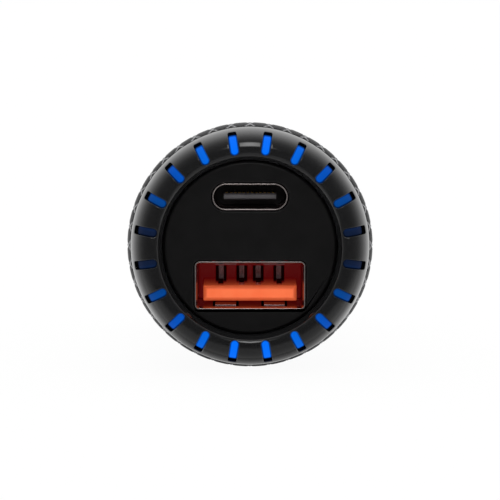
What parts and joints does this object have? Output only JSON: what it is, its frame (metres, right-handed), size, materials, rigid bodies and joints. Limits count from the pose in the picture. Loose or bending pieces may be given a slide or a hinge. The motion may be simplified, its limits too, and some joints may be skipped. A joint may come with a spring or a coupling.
{
  "type": "car usb charger plug",
  "caption": "Round car socket charger with a diamond-knurled grip, a slotted bezel lit in blue, a USB-C port over a USB-A port, sprung side contacts and a sprung tip.",
  "frame": {"origin": "on the plug's axis, in the plane of the rear shoulder that meets the rim of the car's socket", "axes": "+Y along the plug's axis towards its tip, -Y towards the face with the ports, +Z towards the USB-C port"},
  "size_m": [0.0294, 0.0649, 0.0294],
  "materials": {
    "grip": "satin black anodised look, diamond knurl",
    "bezel": "polished black",
    "guide": "clear moulding lit blue",
    "face": "satin black",
    "barrel": "satin black",
    "nickel": "bright nickel",
    "spring_steel": "bright strip and wire",
    "port_steel": "tinned sheet",
    "contact_gold": "gold flash",
    "brass": "plain brass",
    "orange": "moulded orange",
    "port_black": "moulded black",
    "board": "green solder mask",
    "ferrite": "sintered ferrite",
    "copper": "enamelled copper wire",
    "can": "drawn can",
    "sleeve_blue": "shrunk sleeve",
    "chip": "moulded epoxy",
    "ceramic": "fired ceramic",
    "lamp": "clear lamp"
  },
  "bodies": {
    "charger": {"grip_sleeve": "grip", "bezel": "bezel", "light_guide": "guide", "face_plate": "face", "plug_barrel": "barrel", "nose_ring": "nickel", "tip_spring": "spring_steel", "tip_terminal": "brass", "usb_a_shell": "port_steel", "usb_a_insulator": "orange", "usb_a_contacts": "port_steel", "usb_c_shell": "port_steel", "usb_c_insulator": "port_black", "usb_c_contacts": "contact_gold", "main_board": "board", "port_board": "board", "board_header": "port_black", "header_pins": "contact_gold", "led_board": "board", "leds": "lamp", "inductor_core": "ferrite", "inductor_winding": "copper", "input_capacitor": "sleeve_blue", "output_capacitors": "can", "converter_chip": "chip", "charging_chip": "chip", "fuse": "ceramic", "input_diode": "chip", "chip_passives": "ceramic"},
    "tip": {"tip_contact": "nickel"},
    "ground_left": {"ground_contact_left": "spring_steel"},
    "ground_right": {"ground_contact_right": "spring_steel"}
  },
  "joints": [
    {"name": "tip_press", "type": "slide", "parent": "charger", "child": "tip", "axis": [0, -1, 0], "range_m": [0, 0.003], "stiffness_N_per_m": 1200, "springref_m": -0.001, "deforming": ["tip_spring"]},
    {"name": "ground_left_spring", "type": "hinge", "parent": "charger", "child": "ground_left", "pos_m": [-0.0076, 0.0055, 0], "axis": [0, 0, -1], "range_deg": [0, 7.5], "stiffness_Nm_per_rad": 0.12, "springref_deg": -2.86},
    {"name": "ground_right_spring", "type": "hinge", "parent": "charger", "child": "ground_right", "pos_m": [0.0076, 0.0055, 0], "axis": [0, 0, 1], "range_deg": [0, 7.5], "stiffness_Nm_per_rad": 0.12, "springref_deg": -2.86}
  ]
}
